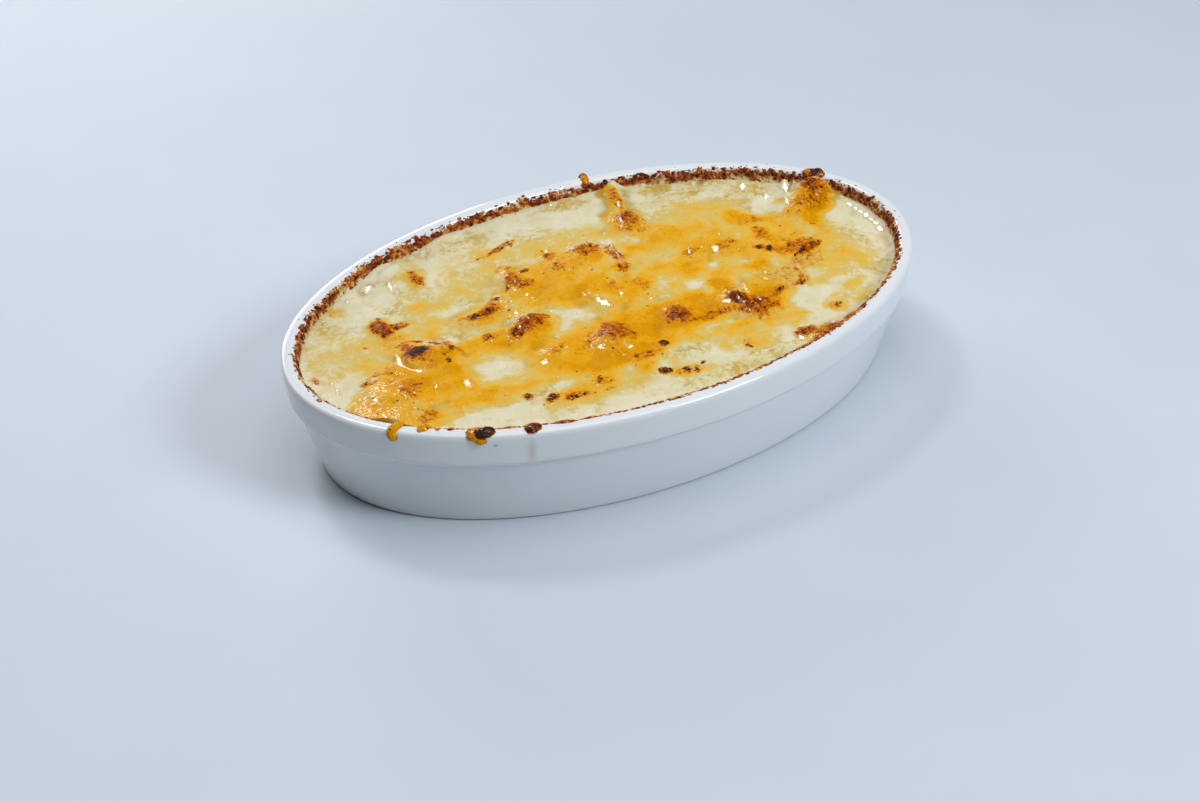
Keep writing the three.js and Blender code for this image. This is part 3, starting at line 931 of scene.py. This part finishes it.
top = np.stack([x, y, z], axis=2)
count = top.size // 3
index = np.arange(count).reshape(COLUMNS + 1, ROWS + 1)
loop = np.r_[index[:-1, 0], index[-1, :-1], index[:0:-1, -1], index[0, :0:-1]]
round_x, round_y = oval_x.ravel()[loop], oval_y.ravel()[loop]
rings = []
for inset, height in FILLING_LINE:
    ring = [round_x * (RIM_A - inset), round_y * (RIM_B - inset), np.full(len(loop), height)]
    rings.append(np.stack(ring, axis=1))
cheese_points = np.concatenate([top.reshape(-1, 3), *rings, [[0, 0, FILLING_LINE[-1][1]]]])
cheese_faces = grid_faces(COLUMNS + 1, ROWS + 1).tolist()
ring_index = [loop] + [count + k * len(loop) + np.arange(len(loop)) for k in range(len(rings))]
for upper, lower in zip(ring_index, ring_index[1:]):
    quads = np.stack([upper, lower, np.roll(lower, -1), np.roll(upper, -1)], axis=1)
    cheese_faces += quads.tolist()
lowest = ring_index[-1]
bottom = len(cheese_points) - 1
cheese_faces += np.stack([np.full(len(lowest), bottom), np.roll(lowest, -1), lowest], axis=1).tolist()


def with_fields(piece, fields):
    """Stores each named field on the piece's points, for its material to read."""
    for name, field in fields.items():
        values = np.zeros(len(piece.data.vertices), np.float32)
        values[: field.size] = field.ravel()
        piece.data.attributes.new(name, "FLOAT", "POINT").data.foreach_set("value", values)


def baked_cheese(tone):
    """Cream, then green-gold oil, clear gold fat, and the browning over it, down to black."""
    gold, oil, browned, burnt, wet, hollow, dry = (
        tone.node("Attribute", {"attribute_name": name}, output="Fac")
        for name in ("gold", "oil", "browned", "burnt", "wet", "hollow", "dry")
    )
    curds = tone.grain(1.7, 4, 0.62).step(0.32, 0.68)
    clouds = tone.grain(7, 4, 0.55, 0.6).step(0.35, 0.65)
    streaks = tone.grain(3.2, 3, 0.55, 0.8).step(0.34, 0.66)
    net = tone.grain(5, 3, 0.55, 1.2) - 0.5
    veins = net.most(0 - net).step(0.06, 0.0)
    swirl = {"Vector": tone.place(), "Scale": 1 / (4 * MM), "Detail": 3}
    wavy = tone.node("VectorMath", {"operation": "MULTIPLY_ADD"}, {
        0: tone.node("TexNoise", {}, swirl, output="Color"),
        1: (3 * MM, 3 * MM, 3 * MM),
        2: tone.place(),
    })
    net_of_cells = {"Vector": wavy, "Scale": 1 / (4.2 * MM)}
    cells = tone.node("TexVoronoi", {"feature": "DISTANCE_TO_EDGE"}, net_of_cells)
    cracks = cells.step(0.13, 0.01) * tone.grain(9, 2).step(0.42, 0.58) * oil.step(0.15, 0.5)
    cream = clouds.colours(paint("ddd3aa"), paint("e4dcbe"))
    wash = clouds.colours(paint("d3bc68"), paint("caac50"))
    # Oil, gold fat and the dark lines grow stronger in the hollows: partly fat gathered there, partly
    # painted shade.
    seep = oil * 1.15 + curds * 0.25 + clouds * 0.3 + streaks * 0.35 + veins * 0.2
    seep = (seep + cracks * 0.25 + hollow * 0.3 - 0.6).step(0, 1.05)
    lines = (veins.most(cracks) * seep.step(0.4, 0.95) + hollow.step(0.3, 1) * oil).least(1)
    soaked = (lines * 0.3).colours(seep.colours(cream, wash), paint("a8832e"))
    uneven = (curds - 0.5) * 0.14 + (clouds - 0.5) * 0.16 + (streaks - 0.5) * 0.16 + (veins + cracks) * 0.08
    fat = gold * 1.02 + uneven * gold.step(0, 0.45) + hollow * 0.2
    amber = tone.node("ValToRGB", {"stops": [
        (0.0, paint("ddd0a0")),
        (0.2, paint("dabf70")),
        (0.33, paint("dcbb60")),
        (0.45, paint("e2b74e")),
        (0.58, paint("e8b038")),
        (0.72, paint("e8a81f")),
        (0.86, paint("e7a40a")),
        (1.0, paint("dc9600")),
    ]}, {0: fat})
    fatty = fat.step(0.05, 0.35).colours(soaked, amber)
    crumbly = tone.grain(0.8, 3) - 0.5
    toast = browned * 0.82 + ((curds - 0.5) * 0.45 + crumbly * 0.6) * browned
    browning = tone.node("ValToRGB", {"stops": [
        (0.0, paint("e8a60c")),
        (0.25, paint("e19604")),
        (0.42, paint("d07a04")),
        (0.56, paint("b45804")),
        (0.70, paint("873a0c")),
        (0.86, paint("552a18")),
        (1.0, paint("3a231c")),
    ]}, {0: toast})
    skin = tone.node("ValToRGB", {"stops": [
        (0.0, paint("d8cda8")),
        (0.28, paint("c9ac7c")),
        (0.45, paint("bf8a54")),
        (0.58, paint("a65a36")),
        (0.72, paint("82402c")),
        (0.88, paint("5a2b21")),
        (1.0, paint("3a231c")),
    ]}, {0: toast})
    toasted = (toast - dry * 0.08).step(0.15, 0.48).colours(fatty, dry.colours(browning, skin))
    dots = tone.node("TexVoronoi", {}, {"Vector": tone.place(), "Scale": 1 / (2.8 * MM)})
    dots = (dots + tone.grain(1.2, 1) * 0.3).step(0.35, 0.23) * tone.grain(5, 2).step(0.47, 0.55)
    dots = dots * (gold * 0.55 + browned * 1.5).step(0.22, 0.7)
    pepper = tone.grain(0.8, 2).step(0.6, 0.66).most(tone.grain(1.7, 2).step(0.63, 0.67))
    pepper = (pepper * browned.step(0.28, 0.55) * 0.92).most(dots * 0.85)
    # Painted shade: the colour is darkened in the hollows, together with the fat gathered there.
    hollow_shade_and_fat = (hollow.step(0.15, 0.9) * 0.45).colours(toasted, paint("b99c5e"), "MULTIPLY")
    peppered = pepper.colours(hollow_shade_and_fat, paint("44200d"))
    charred = (burnt + crumbly * 2.2).step(0.5, 0.85)
    colour = charred.colours(peppered, curds.colours(paint("2c1b18"), paint("4a2c1e")))
    roughness = 0.5 - gold * 0.1 + charred * 0.15 + tone.grain(2, 2) * 0.1
    smooth = wet.step(0.8, 0.95)
    sparkling = wet.step(0.3, 0.76)
    wet_specks = tone.grain(0.9, 2).step(0.52, 0.6)
    relief = (tone.grain(1.1, 3, 0.6) - 0.5) * (0.4 + toast * 1.0 + seep * 0.4 + gold * 0.3)
    relief = relief + (tone.grain(0.45, 2) - 0.5) * toast + (tone.grain(1.0, 2) - 0.5) * sparkling * 2
    relief = relief * (1 - smooth * 0.95)
    return {
        "Base Color": colour,
        "Roughness": roughness,
        "Coat Weight": (sparkling * wet_specks).most(smooth),
        "Normal": tone.bump(relief, 0.28),
    }


cheese_shine = {
    "Subsurface Weight": 0.2,
    "Subsurface Radius": (1.0, 0.6, 0.25),
    "Subsurface Scale": 2 * MM,
    "Specular IOR Level": 0.05,
    "Coat Roughness": 0.08,
    "IOR": 1.45,
}
cheese_finish = finish("baked cheese", cheese_shine, baked_cheese)
cheese = solid_piece("melted_cheese", cheese_points, cheese_faces, cheese_finish)
with_fields(cheese, {"gold": gold, "oil": oil, "browned": browned, "burnt": burnt, "wet": wet,
                     "hollow": hollow, "dry": np.zeros_like(x)})
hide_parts("pasta_and_cheese")

# The crust on the dish: cheese that boiled up the wall and over the rim and baked on as a thin brown
# skin with a torn edge. It is widest at the back and the ends. At the front left three runs and two
# burnt beads crossed the rim, another run crossed it behind, and a lump was drawn up at the right.
CRUST_COLUMNS = 1500
CRUST_STEP = 0.4
RIM_EDGE = 4.7
CRUST_DEEPEST = 35.6
CRUST_LOWEST = 33
CRUST_HOLD = 0.25
CRUST_ROOT = 0.7
BEAD_SIZE = 1.4
BEAD_RADIUS = 0.62
# How far past the inner edge of the rim the crust reaches, at these angles round the dish.
CRUST_REACH = {
    0: -0.4, 20: -0.2, 45: -0.3, 60: -0.6, 75: -0.9, 90: -0.8, 110: -0.6, 128: 0.7, 135: 0.2,
    150: 0.2, 170: 0.2, 185: 0.2, 200: -0.2, 208: 0.4, 225: 0.7, 240: 0.9, 250: 1.0, 270: 1.1,
    290: 1.2, 300: 1.3, 320: 0.8, 345: 0.1,
}
# How dry it baked there, as moist crust is more orange, and how ragged its edge is.
CRUST_DRY = {0: 0.9, 40: 0.8, 70: 0.5, 120: 0.5, 180: 0.5, 215: 0.3, 270: 0.3, 310: 0.4, 340: 0.8}
RAGGED = {0: 1, 60: 1.1, 120: 1.0, 180: 0.9, 200: 0.5, 215: 0.25, 290: 0.25, 320: 0.5, 345: 0.8}

over_rim = rounded(DISH_CORNERS)[::-1]
stays = (over_rim[::-1, 1] > CRUST_LOWEST) & (over_rim[::-1, 0] < RIM_EDGE)
over_rim = spaced(over_rim[: len(over_rim) - np.argmax(stays) + 1], CRUST_STEP)
over_rim = over_rim[np.argmax(over_rim[:, 1] > CRUST_DEEPEST) :]
run = np.r_[0, np.cumsum(np.linalg.norm(np.diff(over_rim, axis=0), axis=1))]
edge = np.argmin(np.abs(over_rim[:, 0] - RIM_EDGE) + np.abs(over_rim[:, 1] - RIM_TOP))
past_edge = (run - run[edge])[None, :]
along_line = np.gradient(over_rim, axis=0)
along_line /= np.linalg.norm(along_line, axis=1, keepdims=True)
outward = np.c_[-along_line[:, 1], -along_line[:, 0]]
skin_angles = np.linspace(0, 2 * math.pi, CRUST_COLUMNS, endpoint=False)
degrees = np.degrees(skin_angles)[:, None]
on_rim = round_the_rim(over_rim, skin_angles)

ragged = round_dish(RAGGED, degrees)
bead_gap, bead_middle = [], []
for place in (on_rim.reshape(-1, 3) / BEAD_SIZE).tolist():
    distances, middles_near = noise.voronoi(place)
    bead_gap.append(distances[0])
    bead_middle.append(middles_near[0] * BEAD_SIZE)
bead_gap = np.array(bead_gap).reshape(on_rim.shape[:2])
bead_middle = np.array(bead_middle).reshape(on_rim.shape)
beads = np.sqrt(np.clip(1 - bead_gap / BEAD_RADIUS, 0, 1))
torn_edge = unevenness(bead_middle, 4.2, 41) + 0.7 * unevenness(bead_middle, 1.9, 42)
depth = round_dish(CRUST_REACH, degrees) + ragged * 1.4 * torn_edge - past_edge
grains = unevenness(bead_middle, 1.3, 43)
clumps = unevenness(on_rim, 5, 45)
skin = 0.4 * smooth_step(depth, 0, 2.4) - 0.3 * np.clip(-depth, 0, 9) - 0.15
skin += (0.3 + 0.5 * ragged) * beads * smooth_step(depth, -0.9, 0.2) * smooth_step(-depth, -3.6, -1.8)
skin_browned = 0.76 + 0.5 * grains + 0.25 * clumps - 0.45 * smooth_step(depth, 2.0, 6)
skin_burnt = 0.6 * smooth_step(1.2 * grains + 0.8 * clumps, 0.1, 0.45) * smooth_step(-depth, -3.4, -1.4)
skin_gold = 0.3 - 0.2 * smooth_step(depth, 2.5, 5)
skin_wet = 0.3 * np.ones_like(skin)
skin_dry = np.broadcast_to(round_dish(CRUST_DRY, degrees), skin.shape).copy()


def drip(angle, start, past, length, width, thick, turn=0):
    """The thickness of a bead at this angle, start millimetres along the rim and past its inner edge."""
    at = math.radians(angle)
    pace = math.hypot(RIM_A * math.sin(at), RIM_B * math.cos(at))
    beside = np.radians((degrees - angle + 180) % 360 - 180) * pace - start
    beyond = past_edge - past
    lean = math.radians(turn)
    across = beside * math.cos(lean) + beyond * math.sin(lean)
    down = beyond * math.cos(lean) - beside * math.sin(lean)
    ripple = 1 + 0.16 * grains
    shape = 1 - (across / (width / 2) * ripple) ** 2 - (down / (length / 2) * ripple) ** 2
    return np.where(shape > 0, thick * np.sqrt(np.clip(shape, 0, 1)), -1)


# Beads and runs: (angle, along the rim, past its edge, length, width, thickness, turn, browned,
# burnt, gold).
for *where, thickness, turn, brown, black, fat in [
    (213, 0, 2.2, 8.5, 3.6, 1.2, 8, 0.25, 0, 1),
    (213, 0.4, 5.7, 3.6, 3.2, 1.4, 0, 0.2, 0, 1),
    (218.6, 0, 0.4, 5.0, 4.0, 1.3, -10, 0.4, 0, 1),
    (218, 0.6, 2.2, 2.2, 2.2, 0.9, 0, 0.3, 0, 1),
    (224, 0, 0.5, 2.0, 2.2, 0.7, 0, 0.55, 0.1, 0.6),
    (221.5, 0, 1.2, 1.4, 1.6, 0.6, 0, 0.5, 0, 0.6),
    (207, 0, -0.2, 1.4, 1.6, 0.6, 0, 0.5, 0, 0.5),
    (191, 0, 1.3, 1.6, 2.2, 0.7, 0, 0.5, 0, 0.5),
    (229.2, 0, 2.8, 6.0, 6.4, 1.3, 20, 0.42, 0.05, 1),
    (230.2, 0, 5.6, 3.0, 4.0, 1.2, 0, 0.32, 0, 1),
    (230.6, 0.3, 2.7, 4.2, 6.6, 2.0, -8, 0.95, 1, 0.3),
    (239.2, 0, 2.2, 3.8, 5.6, 1.7, -8, 0.85, 0.75, 0.4),
    (239.0, 0, 0.9, 2.6, 5.6, 1.2, 0, 0.7, 0.4, 0.4),
    (244.5, 0, 0.7, 1.4, 8.0, 0.8, 4, 0.7, 0.5, 0.2),
    (249, 0, 0.4, 1.0, 5.0, 0.6, 0, 0.7, 0.5, 0.2),
    (235, 0, 0.4, 1.0, 4.4, 0.6, 0, 0.6, 0.3, 0.3),
    (76.5, 0, 2.0, 7.0, 3.0, 1.1, 0, 0.4, 0, 1),
    (76.5, 0, 4.3, 3.2, 3.4, 1.6, 0, 0.58, 0.1, 1),
    (24.5, 0, 0.8, 5.0, 9.0, 1.4, 0, 0.65, 0.3, 0.9),
    (24.0, 0, 1.6, 4.0, 4.5, 1.7, 0, 0.85, 0.85, 0.6),
    (297, 0, -0.3, 2.6, 10, 1.2, 0, 0.7, 0.4, 0.5),
    (303, 0, -0.2, 2.4, 9, 1.0, 0, 0.62, 0.3, 0.5),
]:
    bead = drip(*where, thickness, turn)
    inside = smooth_step(bead, 0, 0.45 * thickness)
    skin = np.maximum(skin, bead)
    skin_browned += (brown - skin_browned) * inside
    skin_burnt += (black - skin_burnt) * inside
    skin_gold += (fat - skin_gold) * inside
    skin_wet += (0.8 - skin_wet) * inside
    skin_dry *= 1 - inside * fat

held = np.clip(skin, -CRUST_HOLD, None)
lift = np.stack([
    outward[:, 0][None, :] * np.cos(skin_angles)[:, None],
    outward[:, 0][None, :] * np.sin(skin_angles)[:, None],
    np.broadcast_to(outward[:, 1][None, :], skin.shape),
], axis=2)
outer_skin = on_rim + lift * held[:, :, None]
inner_skin = on_rim - lift * CRUST_ROOT
wanted = (skin > -CRUST_HOLD * 0.99).ravel()
skin_quads = grid_faces(CRUST_COLUMNS, over_rim.shape[0], wraps=True)
skin_quads = skin_quads[wanted[skin_quads].any(axis=1)]
used = np.unique(skin_quads)
renumbered = np.full(skin.size, -1)
renumbered[used] = np.arange(len(used))
skin_quads = renumbered[skin_quads]
sides = np.concatenate([np.stack([skin_quads[:, k], skin_quads[:, (k + 1) % 4]], 1) for k in range(4)])
met = {(b, a) for a, b in sides.tolist()}
border = [(a, b) for a, b in sides.tolist() if (a, b) not in met]
skin_faces = skin_quads.tolist() + (skin_quads[:, ::-1] + len(used)).tolist()
skin_faces += [(b, a, a + len(used), b + len(used)) for a, b in border]
skin_points = np.r_[outer_skin.reshape(-1, 3)[used], inner_skin.reshape(-1, 3)[used]]
crust = solid_piece("baked_on_crust", skin_points, skin_faces, cheese_finish)
with_fields(crust, {
    "gold": skin_gold.ravel()[used],
    "oil": np.zeros(len(used)),
    "browned": np.clip(skin_browned, 0, 1).ravel()[used],
    "burnt": skin_burnt.ravel()[used],
    "wet": skin_wet.ravel()[used],
    "hollow": np.zeros(len(used)),
    "dry": skin_dry.ravel()[used],
})
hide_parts("pasta_and_cheese")

# Crumbs: burnt grains that broke off the crust and stuck to the rim, most of them behind and at the
# right. Each is a small uneven lump, half sunk in the film of fat that holds it.
CRUMBS = 170
CRUMB_SIZES = (0.14, 0.38)
CRUMBS_INSIDE = 0.5
CRUMBS_BEYOND = 0.7
CRUMB_SHARE = {0: 1.0, 40: 1.0, 75: 0.5, 115: 0.9, 160: 0.8, 185: 0.3, 215: 0.1, 290: 0.1, 330: 0.5}
CRUMB_SIDES, CRUMB_RINGS = 7, 4

ball = []
for rise in np.linspace(-1.3, 1.3, CRUMB_RINGS):
    for turn in np.linspace(0, 2 * math.pi, CRUMB_SIDES, endpoint=False):
        level_out = math.cos(rise)
        ball.append((math.cos(turn) * level_out, math.sin(turn) * level_out, 0.7 * math.sin(rise)))
draw_crumbs = np.random.default_rng(11)
crumb_points, crumb_faces = [], []
while len(crumb_points) < CRUMBS:
    at = draw_crumbs.uniform(0, 360)
    if draw_crumbs.uniform() > round_dish(CRUMB_SHARE, at):
        continue
    column = int(at / 360 * CRUST_COLUMNS)
    past = round_dish(CRUST_REACH, at) + draw_crumbs.exponential(CRUMBS_BEYOND) - CRUMBS_INSIDE
    row = int(np.argmin(np.abs(past_edge[0] - past)))
    size = draw_crumbs.uniform(*CRUMB_SIZES)
    crumb = np.array(ball) * draw_crumbs.uniform(0.75, 1.25, (len(ball), 3)) * size
    start = len(crumb_points) * len(ball)
    crumb_points.append(crumb + on_rim[column, row])
    for ring in range(CRUMB_RINGS - 1):
        for k in range(CRUMB_SIDES):
            here = start + ring * CRUMB_SIDES + k
            beside = start + ring * CRUMB_SIDES + (k + 1) % CRUMB_SIDES
            crumb_faces.append([here, beside, beside + CRUMB_SIDES, here + CRUMB_SIDES])
    top_ring = start + (CRUMB_RINGS - 1) * CRUMB_SIDES
    crumb_faces.append([start + k for k in reversed(range(CRUMB_SIDES))])
    crumb_faces.append([top_ring + k for k in range(CRUMB_SIDES)])


def burnt_crumb(tone):
    """Dark brown to nearly black."""
    return {"Base Color": tone.grain(1.5, 2).step(0.35, 0.6).colours(paint("2e1b15"), paint("74391a"))}


crumb_finish = finish("burnt crumb", {"Roughness": 0.55, "Specular IOR Level": 0.3}, burnt_crumb)
crumb_points = np.concatenate(crumb_points)
crumbs = solid_piece("crumbs_on_rim", crumb_points, crumb_faces, crumb_finish)
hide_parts("pasta_and_cheese")

# The floor and the light: a plain pale surface in a dim room, lit by a low window behind the dish, a
# soft lamp and a small window behind it on the left, a lamp in front on the right and a pale ceiling.
FLOOR_SIZE = 6
floor_mesh = bpy.data.meshes.new("floor")
half = FLOOR_SIZE / 2
floor_corners = [(-half, -half, 0), (half, -half, 0), (half, half, 0), (-half, half, 0)]
floor_mesh.from_pydata(floor_corners, [], [(0, 1, 2, 3)])


def pale_floor(tone):
    """A plain pale grey, a little clouded."""
    return {"Base Color": tone.grain(60, 4).colours(paint("c8d1da"), paint("ced7df"))}


floor_mesh.materials.append(finish("pale floor", {"Roughness": 0.6}, pale_floor))
floor = bpy.data.objects.new("floor", floor_mesh)
bpy.context.collection.objects.link(floor)


def soft_lamp(name, azimuth, elevation, size, watts, colour):
    """A square soft lamp, size metres wide, that looks at the dish from this direction."""
    lamp = bpy.data.lights.new(name, "AREA")
    lamp.shape = "SQUARE"
    lamp.size = size
    lamp.energy = watts
    lamp.color = colour
    holder = bpy.data.objects.new(name, lamp)
    away = direction(azimuth, elevation)
    holder.location = away * LAMP_DISTANCE
    holder.rotation_euler = (-away).to_track_quat("-Z", "Y").to_euler()
    bpy.context.collection.objects.link(holder)


# Each lamp's azimuth, elevation, size, watts and colour.
soft_lamp("low_window_behind", 88, 14, 0.8, 8.4, (0.98, 1.0, 1.04))
soft_lamp("lamp_behind_left", 112, 40, 0.7, 2.2, (1.0, 1.0, 1.0))
soft_lamp("small_window", *SMALL_WINDOW, 0.24, 3.4, (1.0, 1.0, 1.0))
soft_lamp("lamp_front_right", 303, 40, 0.4, 9.1, (0.92, 1.0, 1.06))
soft_lamp("pale_ceiling", 290, 80, 1.2, 9.2, (0.99, 1.0, 1.05))
world = bpy.data.worlds.new("dim_room")
world.use_nodes = True
world.node_tree.nodes["Background"].inputs["Color"].default_value = (0.9, 0.95, 1.0, 1)
world.node_tree.nodes["Background"].inputs["Strength"].default_value = 0.02
bpy.context.scene.world = world
